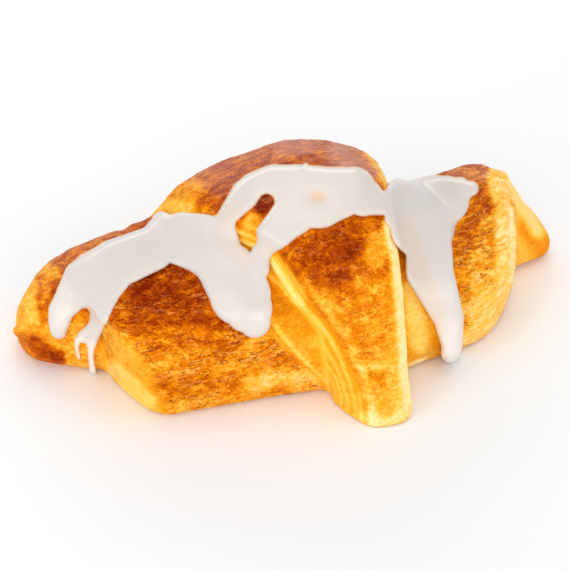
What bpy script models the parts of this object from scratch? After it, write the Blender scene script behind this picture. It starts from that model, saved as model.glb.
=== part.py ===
"""Iced croissant: a rolled pastry of overlapping wraps with a poured sugar glaze.

Units inside this file are millimetres until the very last step, which writes
metres. The pastry is one solid, made of five lofted wraps joined together:

  left_horn    tapering end of the roll, on the left
  roll         the main roll, boxy below and domed above, cut off by a slanted
               layered face at its left end and an upright one at its right end
  right_horn   short tapering end of the roll, on the right
  under_wrap   the layer below the outermost one, 2.5 mm proud of the roll
  outer_wrap   the outermost layer, a hump on top that narrows to a tongue
               reaching the table in front

Each wrap is a surface over (s, angle): s runs along the roll's own plan curve,
the angle turns about the roll's axis, 0 at the front and 90 at the top. The
icing is a thin sheet laid over the pastry, poured on from the front and above.
"""
import math

import bpy
import numpy as np
from mathutils import Vector
from mathutils.bvhtree import BVHTree

for old in list(bpy.data.objects):
    bpy.data.objects.remove(old, do_unlink=True)

MM = 0.001

# ---------------------------------------------------------------- dimensions
ORIGIN = (0.18, -17.677)            # plan position of the finished part's origin
FLOOR = 0.0                     # the flat underside
SINK = 6.0                      # how far the wraps run below the floor cut

# plan curves of the roll and its two horns (x to the right, y to the back)
ROLL_CURVE = [(-78, 16), (-62, 4), (-40, -2), (-10, -5), (20, -5), (48, -1), (68, 10), (80, 24)]
LEFT_HORN_CURVE = [(-40, -4), (-60, 2), (-76, 9), (-88, 16)]
RIGHT_HORN_CURVE = [(40, 0), (62, 7), (78, 10), (92, 11)]

# sections: position along the curve, half depth in front, half depth behind,
# height, height of the widest line
ROLL = [(-80, 40, 20, 32, 14), (-62, 46, 22, 37, 15), (-50, 43.5, 24, 38.5, 17),
        (-20, 40, 30, 43.5, 18), (5, 41, 28, 43, 18), (30, 38, 22, 38, 18),
        (48, 36, 20, 35.5, 17), (60, 32, 17, 36.5, 16), (70, 27, 14, 35, 15),
        (78, 17, 12, 33, 14), (85, 10, 10, 32, 13)]
LEFT_HORN = [(0, 23, 21, 40, 15.5), (20, 21, 20, 38, 15), (32, 19.5, 18, 33.5, 14),
             (42, 17.5, 16, 27, 13), (50, 15, 14, 20.5, 11), (58, 12, 11, 15, 9)]
RIGHT_HORN = [(0, 20, 15, 33, 14), (15, 18.5, 15, 34, 13), (29, 17, 14.5, 33.5, 12),
              (38, 16, 12, 30, 10), (42, 15, 11, 25, 9), (46, 14, 10, 15, 7),
              (50, 12.5, 9, 9.5, 5), (54, 11, 8, 7, 4), (60, 9, 6, 6, 3)]
ROLL_DOME, ROLL_BOX = 2.5, 5.0          # superellipse powers above, below
LEFT_DOME, LEFT_BOX = 2.2, 3.0
RIGHT_DOME, RIGHT_BOX = 2.0, 2.6
LEFT_HORN_LENGTH, LEFT_HORN_ROUND = 52.5, 10.0
RIGHT_HORN_LENGTH, RIGHT_HORN_ROUND = 53.5, 4.0

# end faces of the roll: a point of the face and its outward direction
LEFT_FACE = ((-74, -10, 0), (-0.88, -0.475, -0.2))
RIGHT_FACE = ((72.5, -12, 20), (0.98, -0.05, 0.02))
CORNER_FACE = ((70, -16, 0), (0.83, -0.555, -0.2))  # bevels the right end's front corner
ROLL_END = (-64.0, 79.0)                # square ends behind the slanted and upright faces
LEFT_EDGE_ROUND, RIGHT_EDGE_ROUND = 4.0, 9.0

# the two outer layers: their left and right edges along the roll by angle
UNDER_PROUD = 2.5
UNDER_EDGES = [(-60, -2, 31), (-30, -3, 33), (-15, -9, 34), (0, -16, 35), (15, -22, 36),
               (30, -27, 36), (60, -35, 37), (90, -40, 38), (150, -43, 38), (240, -43, 38)]
AXIS_HEIGHT = 24.0
OUTER_PROFILE = [(-30, -8), (-36, 6), (-39, 20), (-38, 36), (-31, 50), (-18, 59), (0, 63),
                 (16, 62), (30, 56), (41, 45), (48, 34), (54, 22), (59, 9), (62.2, 0),
                 (61, -8), (40, -14), (0, -14)]
OUTER_TOP = 63.0
OUTER_CREST = [(-60, 29), (-52, 34), (-45, 39), (-36, 47.7), (-25, 53.3), (-10, 58), (4, 60.5),
               (14, 59), (24, 54), (32, 49), (38, 44.5)]
OUTER_EDGES = [(-60, 1.5, 16), (-30, 2, 16.5), (-18, 3.5, 16), (0, 0.5, 17), (20, -7, 18.5),
               (45, -14.5, 21), (65, -26.5, 25), (90, -37, 30), (120, -43, 33.5),
               (160, -47, 36), (200, -47, 36), (240, -47, 36)]
OUTER_CROWN = 2.5                       # fall from the middle to the edges
OUTER_PROUD = [(-60, 1.5), (-42, 2.0), (-25, 4.5), (30, 4.5), (40, 3.5)]  # least rise above the roll, at the back
WALL_FLARE = [(-40, 0.12), (-18, 0.45), (0, 0.75), (25, 0.8), (60, 0.6)]  # lean of the left cut edge, by angle
WALL_FLARE_DEPTH = 14.0
OUTER_CORE = 6.0                        # the outer wrap's solid reaches this near the axis


# ------------------------------------------------------------------- helpers
def smooth_table(rows):
    """Monotone cubic through table rows: first column in, the others out."""
    table = np.array(rows, float)
    x, curves = table[:, 0], []
    for y in table[:, 1:].T:
        h = np.diff(x)
        slope = np.diff(y) / h
        m = np.zeros_like(y)
        m[0], m[-1] = slope[0], slope[-1]
        for i in range(1, len(x) - 1):
            if slope[i - 1] * slope[i] > 0:
                a, b = 2 * h[i] + h[i - 1], h[i] + 2 * h[i - 1]
                m[i] = (a + b) / (a / slope[i - 1] + b / slope[i])
        curves.append((y, m, h))

    def at(t):
        t = np.clip(t, x[0], x[-1])
        i = np.clip(np.searchsorted(x, t) - 1, 0, len(x) - 2)
        out = []
        for y, m, h in curves:
            u = (t - x[i]) / h[i]
            out.append((1 + 2 * u) * (1 - u) ** 2 * y[i] + u * (1 - u) ** 2 * h[i] * m[i]
                       + u * u * (3 - 2 * u) * y[i + 1] + u * u * (u - 1) * h[i] * m[i + 1])
        return out[0] if len(out) == 1 else out
    return at


class PlanCurve:
    """Smooth curve in plan, straight beyond its ends, measured by arc length.

    side is +1 where the curve runs to the right and -1 where it runs to the
    left, so that the across direction always points to the front."""

    def __init__(self, points, side=1, zero_x=None, beyond=40.0):
        p = np.array(points, float)
        p = np.vstack([2 * p[0] - p[1], p, 2 * p[-1] - p[-2]])
        fine = []
        for i in range(1, len(p) - 2):
            a, b, c, d = p[i - 1:i + 3]
            t = np.linspace(0, 1, 24, endpoint=False)[:, None]
            fine.append(0.5 * (2 * b + (c - a) * t + (2 * a - 5 * b + 4 * c - d) * t ** 2
                               + (3 * b - a - 3 * c + d) * t ** 3))
        fine = np.vstack(fine + [p[-2:-1]])
        start, end = fine[0] - fine[1], fine[-1] - fine[-2]
        fine = np.vstack([fine[0] + start / np.hypot(*start) * beyond, fine,
                          fine[-1] + end / np.hypot(*end) * beyond])
        length = np.r_[0, np.cumsum(np.hypot(*np.diff(fine, axis=0).T))]
        self.t = np.linspace(0, length[-1], int(length[-1]))
        self.p = np.stack([np.interp(self.t, length, fine[:, k]) for k in (0, 1)], 1)
        self.t = self.t - beyond
        if zero_x is not None:
            self.t -= self.t[np.argmin(abs(self.p[:, 0] - zero_x))]
        along = np.gradient(self.p, axis=0)
        along /= np.hypot(*along.T)[:, None]
        self.n = side * np.stack([along[:, 1], -along[:, 0]], 1)

    def place(self, s, across, z):
        """World points at arc length s, across to the front, height z."""
        c = [np.interp(s, self.t, self.p[:, k]) for k in (0, 1)]
        n = [np.interp(s, self.t, self.n[:, k]) for k in (0, 1)]
        return np.stack([c[0] + n[0] * across, c[1] + n[1] * across, z + 0 * c[0]], -1)


def section_radius(angle, front, back, top, bottom, dome, box):
    """Radius of a superellipse section at an angle from the front, 90 up."""
    c, s = np.cos(angle), np.sin(angle)
    half = np.where(c > 0, front, back)
    up = s > 0
    high = np.where(up, top, bottom)
    n = np.where(up, dome, box)
    return ((abs(c) / half) ** n + (abs(s) / high) ** n) ** (-1 / n)


def loft(name, rings, closed_ends=True):
    """Closed mesh through equal rings of points (rings x points x 3), in mm."""
    rings = np.asarray(rings, float)
    count, n = rings.shape[:2]
    verts = [tuple(v) for v in rings.reshape(-1, 3)]
    faces = []
    for i in range(count - 1):
        for j in range(n):
            k = (j + 1) % n
            faces.append((i * n + j, i * n + k, (i + 1) * n + k, (i + 1) * n + j))
    for ring, flip in ((0, True), (count - 1, False)):
        middle = len(verts)
        verts.append(tuple(rings[ring].mean(0)))
        for j in range(n):
            a, b = ring * n + j, ring * n + (j + 1) % n
            faces.append((b, a, middle) if flip else (a, b, middle))
    mesh = bpy.data.meshes.new(name)
    x0, y0 = ORIGIN
    mesh.from_pydata([((x - x0) * MM, (y - y0) * MM, z * MM) for x, y, z in verts], [], faces)
    mesh.update()
    # outward faces: the signed volume tells which way the rings run
    co = np.array(verts)
    volume = sum(np.dot(co[f[0]], np.cross(co[f[k]], co[f[k + 1]]))
                 for f in faces for k in range(1, len(f) - 1))
    if volume < 0:
        mesh.flip_normals()
    obj = bpy.data.objects.new(name, mesh)
    bpy.context.scene.collection.objects.link(obj)
    return obj


def guide(obj):
    obj.hide_render = True
    obj.display_type = "WIRE"
    return obj


def principled(name, colour, roughness, coat=0.0):
    mat = bpy.data.materials.new(name)
    mat.use_nodes = True
    shader = mat.node_tree.nodes["Principled BSDF"]
    shader.inputs["Base Color"].default_value = (*colour, 1)
    shader.inputs["Roughness"].default_value = roughness
    shader.inputs["Metallic"].default_value = 0.0
    shader.inputs["Coat Weight"].default_value = coat
    mat.diffuse_color = (*colour, 1)
    return mat


roll_curve = PlanCurve(ROLL_CURVE, zero_x=0)
roll_table = smooth_table(ROLL)


# -------------------------------------------------------------- the main roll
def roll_point(s, angle, inset=0.0, proud=0.0):
    front, back, height, mid = roll_table(s)
    r = section_radius(angle, front + proud, back + proud, height + proud - mid,
                       mid + SINK, ROLL_DOME, ROLL_BOX) - inset
    return roll_curve.place(s, r * np.cos(angle), mid + r * np.sin(angle))


def end_of_roll(angle, outside, lo, hi):
    """Arc length at which the roll's surface meets an end face, by halving."""
    lo, hi = np.full_like(angle, lo), np.full_like(angle, hi)
    for _ in range(40):
        mid = (lo + hi) / 2
        out = outside(roll_point(mid, angle), mid)
        lo, hi = np.where(out, mid, lo), np.where(out, hi, mid)
    return (lo + hi) / 2


def beyond(face):
    (px, py, pz), (nx, ny, nz) = face
    return lambda p: (p[..., 0] - px) * nx + (p[..., 1] - py) * ny + (p[..., 2] - pz) * nz


past_left, past_right, past_corner = beyond(LEFT_FACE), beyond(RIGHT_FACE), beyond(CORNER_FACE)
around = np.radians(np.linspace(0, 360, 40, endpoint=False))
left_end = end_of_roll(around, lambda p, s: (past_left(p) > 0) | (s < ROLL_END[0]), -95.0, 0.0)
right_end = end_of_roll(around, lambda p, s: (past_right(p) < 0) & (past_corner(p) < 0) & (s < ROLL_END[1]),
                        0.0, 95.0)

rings = []
for a in np.radians((0, 30, 60)):
    rings.append(roll_point(left_end + LEFT_EDGE_ROUND * (1 - math.cos(a)), around,
                            LEFT_EDGE_ROUND * (1 - math.sin(a))))
first, last = left_end + LEFT_EDGE_ROUND, right_end - RIGHT_EDGE_ROUND
for t in np.linspace(0, 1, 24):
    rings.append(roll_point(first + (last - first) * t, around))
for a in np.radians((60, 30, 0)):
    rings.append(roll_point(right_end - RIGHT_EDGE_ROUND * (1 - math.cos(a)), around,
                            RIGHT_EDGE_ROUND * (1 - math.sin(a))))
croissant = loft("croissant", rings)


# ------------------------------------------------------------------ the horns
def horn(name, curve, rows, dome, box, start, length, round_end, steps):
    table, turn = smooth_table(rows), np.radians(np.linspace(0, 360, 32, endpoint=False))

    def ring(s, inset):
        front, back, height, mid = table(s)
        r = section_radius(turn, front, back, height - mid, mid + SINK, dome, box) - inset
        return curve.place(np.full_like(turn, s), r * np.cos(turn), mid + r * np.sin(turn))

    out = [ring(s, 0) for s in np.linspace(start, length - round_end, steps)]
    for a in np.radians((60, 35, 12, 0)):
        out.append(ring(length - round_end * (1 - math.cos(a)), round_end * (1 - math.sin(a)) * 0.95))
    return guide(loft(name, out))


left_horn = horn("left_horn", PlanCurve(LEFT_HORN_CURVE, side=-1), LEFT_HORN, LEFT_DOME, LEFT_BOX,
                 4.0, LEFT_HORN_LENGTH, LEFT_HORN_ROUND, 12)
right_horn = horn("right_horn", PlanCurve(RIGHT_HORN_CURVE), RIGHT_HORN, RIGHT_DOME, RIGHT_BOX,
                  4.0, RIGHT_HORN_LENGTH, RIGHT_HORN_ROUND, 14)


# ----------------------------------------------------------- the outer layers
under_edges, outer_edges = smooth_table(UNDER_EDGES), smooth_table(OUTER_EDGES)
fine_turn = np.radians(np.arange(-90, 271, 3))


def roll_reach(s, degrees, proud):
    """Distance from the wraps' axis to the roll's surface, at one angle."""
    out = []
    for at, more in zip(s, proud):
        front, back, height, mid = roll_table(np.array(at))
        r = section_radius(fine_turn, front + more, back + more, height + more - mid,
                           mid + SINK, ROLL_DOME, ROLL_BOX)
        d, z = r * np.cos(fine_turn), mid + r * np.sin(fine_turn) - AXIS_HEIGHT
        seen = (np.degrees(np.arctan2(z, d)) + 480) % 360 - 120
        order = np.argsort(seen)
        out.append(np.interp(degrees, seen[order], np.hypot(d, z)[order]))
    return np.array(out)


profile = sorted(((math.degrees(math.atan2(z - AXIS_HEIGHT, d)) + 480) % 360 - 120,
                  math.hypot(d, z - AXIS_HEIGHT)) for d, z in OUTER_PROFILE)
outer_radius, outer_crest = smooth_table(profile), smooth_table(OUTER_CREST)
outer_proud, wall_flare = smooth_table(OUTER_PROUD), smooth_table(WALL_FLARE)


def under_ring(degrees):
    """Edge section of the under layer at one angle: s against depth."""
    angle = math.radians(degrees)
    left, right = under_edges(np.array(degrees - 10 * math.cos(angle)))
    deep, edge = 10.0, 1.5
    s = [left, left, left + 0.5, left + edge]
    d = [deep, edge, 0.5, 0.0]
    s += list(np.linspace(left + edge, right - edge, 13)[1:-1]) + [right - edge, right - 0.5, right, right]
    d += [0.0] * 11 + [0.0, 0.5, edge, deep]
    s += list(np.linspace(right, left, 8)[1:-1])
    d += [deep] * 6
    return roll_point(np.array(s), np.full(len(s), angle), np.array(d), UNDER_PROUD)


def outer_ring(degrees):
    """Section of the outer wrap at one angle, from its core to its crown."""
    left, right = outer_edges(np.array(float(degrees)))
    flare = wall_flare(np.array(float(degrees)))
    blend = np.clip((degrees - 15) / 55, 0, 1)
    blend = blend * blend * (3 - 2 * blend)
    soft = np.clip((degrees - 50) / 60, 0, 1)
    corner = 4.0 + 3.0 * soft * soft * (3 - 2 * soft)
    middle, half = (left + right) / 2, (right - left) / 2
    s, depth = [], []
    reach = outer_radius(np.array(float(degrees))) - OUTER_CORE
    for dep in (reach, WALL_FLARE_DEPTH, (WALL_FLARE_DEPTH + corner) / 2, corner):
        s.append(left - flare * (min(dep, WALL_FLARE_DEPTH) - corner))
        depth.append(dep)
    for a in np.radians((30, 60, 90)):
        s.append(left + corner * (1 - math.cos(a)))
        depth.append(corner * (1 - math.sin(a)))
    inner = np.linspace(left + corner, right - corner, 10)[1:-1]
    s += list(inner)
    depth += [0.0] * len(inner)
    for a in np.radians((90, 60, 30)):
        s.append(right - corner * (1 - math.cos(a)))
        depth.append(corner * (1 - math.sin(a)))
    for dep in (corner, WALL_FLARE_DEPTH, reach):
        s.append(right)
        depth.append(dep)
    s += list(np.linspace(right, s[0], 7)[1:-1])
    depth += [reach] * 5
    s, depth = np.array(s), np.array(depth)
    r = outer_radius(np.array(float(degrees))) * (1 + (outer_crest(s) / OUTER_TOP - 1) * blend)
    r = r - OUTER_CROWN * np.clip(((s - middle) / half) ** 2, 0, 1.2)
    if degrees > 110:
        least = roll_reach(s, degrees, outer_proud(s))
        share = np.clip((degrees - 110) / 50, 0, 1)
        soft_max = (r + least + np.sqrt((r - least) ** 2 + 4)) / 2
        r = r + (soft_max - r) * share * share * (3 - 2 * share)
    r = np.maximum(r - depth, OUTER_CORE)
    angle = math.radians(degrees)
    return roll_curve.place(s, r * math.cos(angle), AXIS_HEIGHT + r * math.sin(angle))


under_wrap = guide(loft("under_wrap", [under_ring(a) for a in np.linspace(-58, 238, 34)]))
toe = list(np.linspace(-58, -24, 4)[:-1]) + list(np.linspace(-24, -8, 6)[:-1])
outer_wrap = guide(loft("outer_wrap", [outer_ring(a) for a in toe + list(np.linspace(-8, 238, 42))]))

# --------------------------------------------------- one solid, flat underneath
bed = guide(loft("bed", [[(x, y, z) for x, y in ((-150, -120), (150, -120), (150, 90), (-150, 90))]
                         for z in (-40.0, FLOOR)]))
for piece in (left_horn, right_horn, under_wrap, outer_wrap):
    join = croissant.modifiers.new("join_" + piece.name, "BOOLEAN")
    join.operation, join.object, join.solver = "UNION", piece, "EXACT"
cut = croissant.modifiers.new("flat_base", "BOOLEAN")
cut.operation, cut.object, cut.solver = "DIFFERENCE", bed, "EXACT"

crust = principled("baked_crust", (0.62, 0.26, 0.045), 0.45)
croissant.data.materials.append(crust)

# ------------------------------------------------------------------ the icing
# The glaze is poured from POUR_POINT. Its outline is drawn on a plane through
# POUR_AIM, square to the pouring direction: u to the right, v upwards, and each
# run of icing is a chain of (u, v, half width) in mm.
POUR_AIM = (-8.0, -15.0, 22.0)
POUR_TURN, POUR_TILT, POUR_DISTANCE = -18.0, 37.0, 750.0
ICING_THICK, ICING_LIP = 2.0, 0.9
ICING_GAP = 0.45
ICING_BRIDGE = 3.0                      # most that the sheet stands off the crust in a fold
ICING_STEP = 2.4
ICING_RUNS = {
    "left_band": [(-26.9, 13.3, 9.8), (-32.8, 14.7, 8.6), (-39.4, 20.2, 3.4), (-42.2, 11.7, 7.2),
                  (-54.2, 6.7, 8), (-59.4, 2.6, 9.4)],
    "left_lobe": [(-64.8, 1.1, 7), (-71.5, -8, 4.3), (-72.5, -12.8, 3.5), (-72.3, -14.6, 2.9)],
    "left_drip": [(-59.4, -5.6, 5.6), (-59.2, -10.6, 3), (-61.1, -14.7, 2.6), (-61.8, -17.9, 2.1),
                  (-61.9, -20.2, 1.6)],
    "middle_lobe": [(-25.4, 12.8, 8.2), (-21.8, 5.6, 6.9), (-14.4, -3.2, 9.9), (-11.8, -7.5, 7.8),
                    (-9.8, -11.8, 5.1)],
    "saddle": [(-25.8, 12, 8), (-15.8, 14.4, 9.9), (-7.2, 22.9, 13.1), (-6.9, 26.9, 10.2)],
    "under_hole": [(-10.9, 8.2, 7.2), (-9, 10.9, 5), (0, 18.2, 1.1)],
    "upper_pool": [(-1.3, 28.2, 13.9), (-3, 29.4, 9.3), (3.8, 28.5, 10.4), (10.7, 28.2, 10.2),
                   (21.8, 30.4, 7.7), (25.1, 28.2, 6.4), (33.1, 24.8, 3)],
    "right_pool": [(39.4, 26.1, 9.8), (37.3, 29, 5.4), (51, 27, 8.2), (55.7, 30.1, 4.6), (59.5,
                   30.9, 2.7)],
    "right_run": [(46.2, 25.6, 9.6), (44, 18.9, 10.6), (46.1, 11, 7.5), (46.2, 4.5, 7.7), (52.3,
                  -10.6, 5), (53.4, -18.9, 3.5), (53, -20.8, 3.2)],
}
ICING_HOLE = [(-5.9, 26.6, 2.2), (-7.7, 23.8, 2.2), (-12.6, 18.6, 3), (-11.8, 14.6, 2.7), (-11.2, 10.9, 0.3)]
ICING_NOTCH = [(-68.8, -16, 1.3), (-66.9, -11, 1.3), (-64, -9, 1.6)]
RUN_BLEND = 1.3


def chain_distance(chain, u, v):
    """Signed distance to a chain of discs joined by tapering bars."""
    best = np.full(np.shape(u), 1e9)
    for (u0, v0, r0), (u1, v1, r1) in zip(chain[:-1], chain[1:]):
        du, dv = u1 - u0, v1 - v0
        t = np.clip(((u - u0) * du + (v - v0) * dv) / (du * du + dv * dv), 0, 1)
        best = np.minimum(best, np.hypot(u - u0 - t * du, v - v0 - t * dv) - (r0 + t * (r1 - r0)))
    return best


def icing_distance(u, v):
    out = np.full(np.shape(u), 1e9)
    for chain in ICING_RUNS.values():
        d = chain_distance(chain, u, v)
        h = np.clip(0.5 + 0.5 * (d - out) / RUN_BLEND, 0, 1)
        out = d + (out - d) * h - RUN_BLEND * h * (1 - h)
    for gap in (ICING_HOLE, ICING_NOTCH):
        out = np.maximum(out, -chain_distance(gap, u, v))
    return out


turn, tilt = math.radians(POUR_TURN), math.radians(POUR_TILT)
back = np.array([math.sin(turn) * math.cos(tilt), -math.cos(turn) * math.cos(tilt), math.sin(tilt)])
right = np.array([math.cos(turn), math.sin(turn), 0.0])
up = np.cross(back, right)
aim = np.array(POUR_AIM)
pour = aim + back * POUR_DISTANCE

bpy.context.view_layer.update()
depsgraph = bpy.context.evaluated_depsgraph_get()
surface = BVHTree.FromObject(croissant, depsgraph)


def pour_ray(u, v):
    way = aim + right * u + up * v - pour
    return way / np.linalg.norm(way)


def pastry_depth(u, v):
    """Distance from the pouring point to the crust, and how squarely it is met."""
    way = pour_ray(u, v)
    start = np.array([pour[0] - ORIGIN[0], pour[1] - ORIGIN[1], pour[2]]) * MM
    hit, normal, _, far = surface.ray_cast(Vector(start), Vector(way))
    if hit is None:
        return None
    return far / MM, -float(np.dot(way, normal))


# square cells whose middle is iced, without cells that touch only at a corner
n_u, n_v = 66, 30
u0, v0 = -80.0, -26.0
grid_u = u0 + ICING_STEP * np.arange(n_u + 1)
grid_v = v0 + ICING_STEP * np.arange(n_v + 1)
mid_u, mid_v = np.meshgrid(grid_u[:-1] + ICING_STEP / 2, grid_v[:-1] + ICING_STEP / 2, indexing="ij")
iced = icing_distance(mid_u, mid_v) < 0
for i in range(n_u):
    for j in range(n_v):
        if iced[i, j] and pastry_depth(mid_u[i, j], mid_v[i, j]) is None:
            iced[i, j] = False
changed = True
while changed:
    changed = False
    for i in range(n_u - 1):
        for j in range(n_v - 1):
            a, b, c, d = iced[i, j], iced[i + 1, j], iced[i, j + 1], iced[i + 1, j + 1]
            if a and d and not b and not c:
                iced[i + 1, j] = changed = True
            elif b and c and not a and not d:
                iced[i, j] = changed = True

corners = sorted({(i + k, j + m) for i, j in np.argwhere(iced) for k in (0, 1) for m in (0, 1)})
index = {c: n for n, c in enumerate(corners)}
uv = np.array([(grid_u[i], grid_v[j]) for i, j in corners])
rim = np.array([not all(0 <= i + k < n_u and 0 <= j + m < n_v and iced[i + k, j + m]
                        for k in (-1, 0) for m in (-1, 0)) for i, j in corners])
for _ in range(3):                      # rim corners slide onto the outline
    f = icing_distance(uv[:, 0], uv[:, 1])
    e = 0.2
    gu = (icing_distance(uv[:, 0] + e, uv[:, 1]) - icing_distance(uv[:, 0] - e, uv[:, 1])) / (2 * e)
    gv = (icing_distance(uv[:, 0], uv[:, 1] + e) - icing_distance(uv[:, 0], uv[:, 1] - e)) / (2 * e)
    size = np.maximum(gu * gu + gv * gv, 0.2)
    move = np.clip(f / np.sqrt(size), -0.45 * ICING_STEP, 0.45 * ICING_STEP) / np.sqrt(size)
    start_uv = np.array([(grid_u[i], grid_v[j]) for i, j in corners])
    new = uv - np.stack([gu, gv], 1) * move[:, None]
    new = start_uv + np.clip(new - start_uv, -0.46 * ICING_STEP, 0.46 * ICING_STEP)
    uv[rim] = new[rim]

def look(points):
    """Pastry depth and squareness at (u, v) points; nan where the ray misses."""
    found = [pastry_depth(u, v) or (np.nan, np.nan) for u, v in points]
    return np.array(found).T


depth, square = look(uv)
square = np.clip(np.nan_to_num(square, nan=0.5), 0.45, 1)

links = [[] for _ in corners]
cells = []
for i, j in np.argwhere(iced):
    four = [index[(i, j)], index[(i + 1, j)], index[(i + 1, j + 1)], index[(i, j + 1)]]
    cells.append(four)
    for a, b in zip(four, four[1:] + four[:1]):
        links[a].append(b)
        links[b].append(a)
cells = np.array(cells)
while np.isnan(depth).any():            # past the crust, go on from the farthest neighbour
    known = depth.copy()
    for k in np.argwhere(np.isnan(depth)).ravel():
        near = [known[m] for m in links[k] if not np.isnan(known[m])]
        if near:
            depth[k] = max(near)
shares = [((1 - a) * (1 - b), a * (1 - b), a * b, (1 - a) * b)
          for a in (0, 0.25, 0.5, 0.75, 1) for b in (0, 0.25, 0.5, 0.75, 1)]
spots = np.array([np.tensordot(w, uv[cells].transpose(1, 0, 2), 1) for w in shares])
spot_depth, spot_square = look(spots.reshape(-1, 2))
limit = (spot_depth - ICING_GAP / np.clip(spot_square, 0.45, 1)).reshape(len(shares), -1)

own = depth - ICING_GAP / square
under_side = own
for turn_no in range(12):               # the sheet bridges folds, clear of the crust
    if turn_no < 4:
        mean = np.array([np.mean(under_side[l]) for l in links])
        under_side = np.maximum(np.minimum(under_side, (under_side + mean) / 2), own - ICING_BRIDGE)
    sheet = np.array([np.tensordot(w, under_side[cells].T, 1) for w in shares])
    deep = np.nan_to_num(sheet - limit, nan=0).max(0)
    for cell, amount in zip(cells, deep):
        if amount > 0:                  # over an edge only the far corners move
            far = under_side[cell] > under_side[cell].min() + 6
            under_side[cell[far] if far.any() else cell] -= 0.6 * amount
inside = np.clip(-icing_distance(uv[:, 0], uv[:, 1]) / 2.5, 0, 1)
thick = ICING_LIP + (ICING_THICK - ICING_LIP) * np.sqrt(inside * (2 - inside))
lean = np.array([np.mean(square[l]) for l in links])
upper_side = under_side - thick / np.clip(lean, 0.5, 1)
for _ in range(6):
    mean = np.array([np.mean(upper_side[l]) for l in links])
    upper_side = np.where(rim, upper_side, np.minimum((upper_side + mean) / 2, under_side - ICING_LIP))
    upper_side = np.maximum(upper_side, under_side - 1.3 * ICING_THICK / np.clip(lean, 0.5, 1))

points, faces = [], []
for side in (under_side, upper_side):
    for (u, v), far in zip(uv, side):
        p = pour + pour_ray(u, v) * far
        points.append(((p[0] - ORIGIN[0]) * MM, (p[1] - ORIGIN[1]) * MM, p[2] * MM))
n = len(uv)
edges = {}
for i, j in np.argwhere(iced):
    four = [index[(i, j)], index[(i + 1, j)], index[(i + 1, j + 1)], index[(i, j + 1)]]
    faces.append([k + n for k in four])
    faces.append(four[::-1])
    for a, b in zip(four, four[1:] + four[:1]):
        edges[(a, b)] = True
for a, b in edges:
    if (b, a) not in edges:
        faces.append([a, b, b + n, a + n])
mesh = bpy.data.meshes.new("icing")
mesh.from_pydata(points, [], faces)
mesh.update()
icing = bpy.data.objects.new("icing", mesh)
bpy.context.scene.collection.objects.link(icing)
glaze = principled("sugar_icing", (0.84, 0.80, 0.76), 0.25, 0.2)
icing.data.materials.append(glaze)
for obj in (croissant, icing):
    obj.data.shade_smooth()
    obj.data.set_sharp_from_angle(angle=math.radians(40))
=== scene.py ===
"""Looks for the iced croissant: crust, icing, table, light and camera.

The crust and the icing are worked out as two surfaces of a distance field,
built from the same curves and sections as the CAD solid. All shape numbers are
in millimetres in the baker's frame (x along the roll, y to the back, z up);
ORIGIN and MM carry them to the shared frame.
"""
import math

import bpy
import numpy as np
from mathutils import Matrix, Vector


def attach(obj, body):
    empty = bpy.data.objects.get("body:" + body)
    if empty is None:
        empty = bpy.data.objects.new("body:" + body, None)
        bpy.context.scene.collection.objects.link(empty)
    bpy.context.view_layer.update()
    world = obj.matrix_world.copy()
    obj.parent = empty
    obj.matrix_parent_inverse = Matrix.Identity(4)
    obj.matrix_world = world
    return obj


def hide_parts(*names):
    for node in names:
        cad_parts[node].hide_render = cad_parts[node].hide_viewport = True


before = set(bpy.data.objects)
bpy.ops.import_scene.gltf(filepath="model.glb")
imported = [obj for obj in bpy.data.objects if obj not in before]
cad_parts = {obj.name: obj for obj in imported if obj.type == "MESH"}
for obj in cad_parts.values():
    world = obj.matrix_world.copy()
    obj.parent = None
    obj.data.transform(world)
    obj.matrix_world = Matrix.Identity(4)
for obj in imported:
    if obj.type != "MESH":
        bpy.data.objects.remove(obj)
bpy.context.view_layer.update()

MM = 0.001
ORIGIN = np.array([0.18, -17.677, 0.0])

# ------------------------------------------------------------------ view
AIM = np.array([-8.0, -15.0, 22.0])
TURN, TILT, DISTANCE = -18.0, 37.0, 750.0
STEP = 0.32          # marks on the sight plane are given in steps of this size
SIGHT_MIDDLE = 285.0
LENS = 148.03

_a, _e = math.radians(TURN), math.radians(TILT)
BACK = np.array([math.sin(_a) * math.cos(_e), -math.cos(_a) * math.cos(_e), math.sin(_e)])
RIGHT = np.array([math.cos(_a), math.sin(_a), 0.0])
UP = np.cross(BACK, RIGHT)
EYE = AIM + BACK * DISTANCE


def sight(p):
    """(across, down) in steps on the sight plane, for points in millimetres."""
    v = p - EYE
    depth = -(v @ BACK)
    k = DISTANCE / depth / STEP
    return SIGHT_MIDDLE + (v @ RIGHT) * k, SIGHT_MIDDLE - (v @ UP) * k


# ------------------------------------------------------------ small tools
def smooth(a, b, x):
    t = np.clip((x - a) / (b - a), 0.0, 1.0)
    return t * t * (3.0 - 2.0 * t)


def mix(a, b, t):
    return a + (b - a) * t


def cubic(x, y):
    """A monotone cubic through the points, clamped outside them."""
    x = np.asarray(x, float)
    y = np.asarray(y, float)
    h = np.diff(x)
    d = np.diff(y) / h
    m = np.zeros_like(y)
    m[0], m[-1] = d[0], d[-1]
    for i in range(1, len(x) - 1):
        if d[i - 1] * d[i] > 0:
            w1, w2 = 2 * h[i] + h[i - 1], h[i] + 2 * h[i - 1]
            m[i] = (w1 + w2) / (w1 / d[i - 1] + w2 / d[i])

    def at(t):
        t = np.clip(t, x[0], x[-1])
        i = np.clip(np.searchsorted(x, t) - 1, 0, len(x) - 2)
        u = (t - x[i]) / h[i]
        v = 1 - u
        return (1 + 2 * u) * v * v * y[i] + u * v * v * h[i] * m[i] + u * u * (3 - 2 * u) * y[i + 1] - u * u * v * h[i] * m[i + 1]

    return at


def columns(rows):
    a = np.array(rows, float)
    return [cubic(a[:, 0], a[:, k]) for k in range(1, a.shape[1])]


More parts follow.
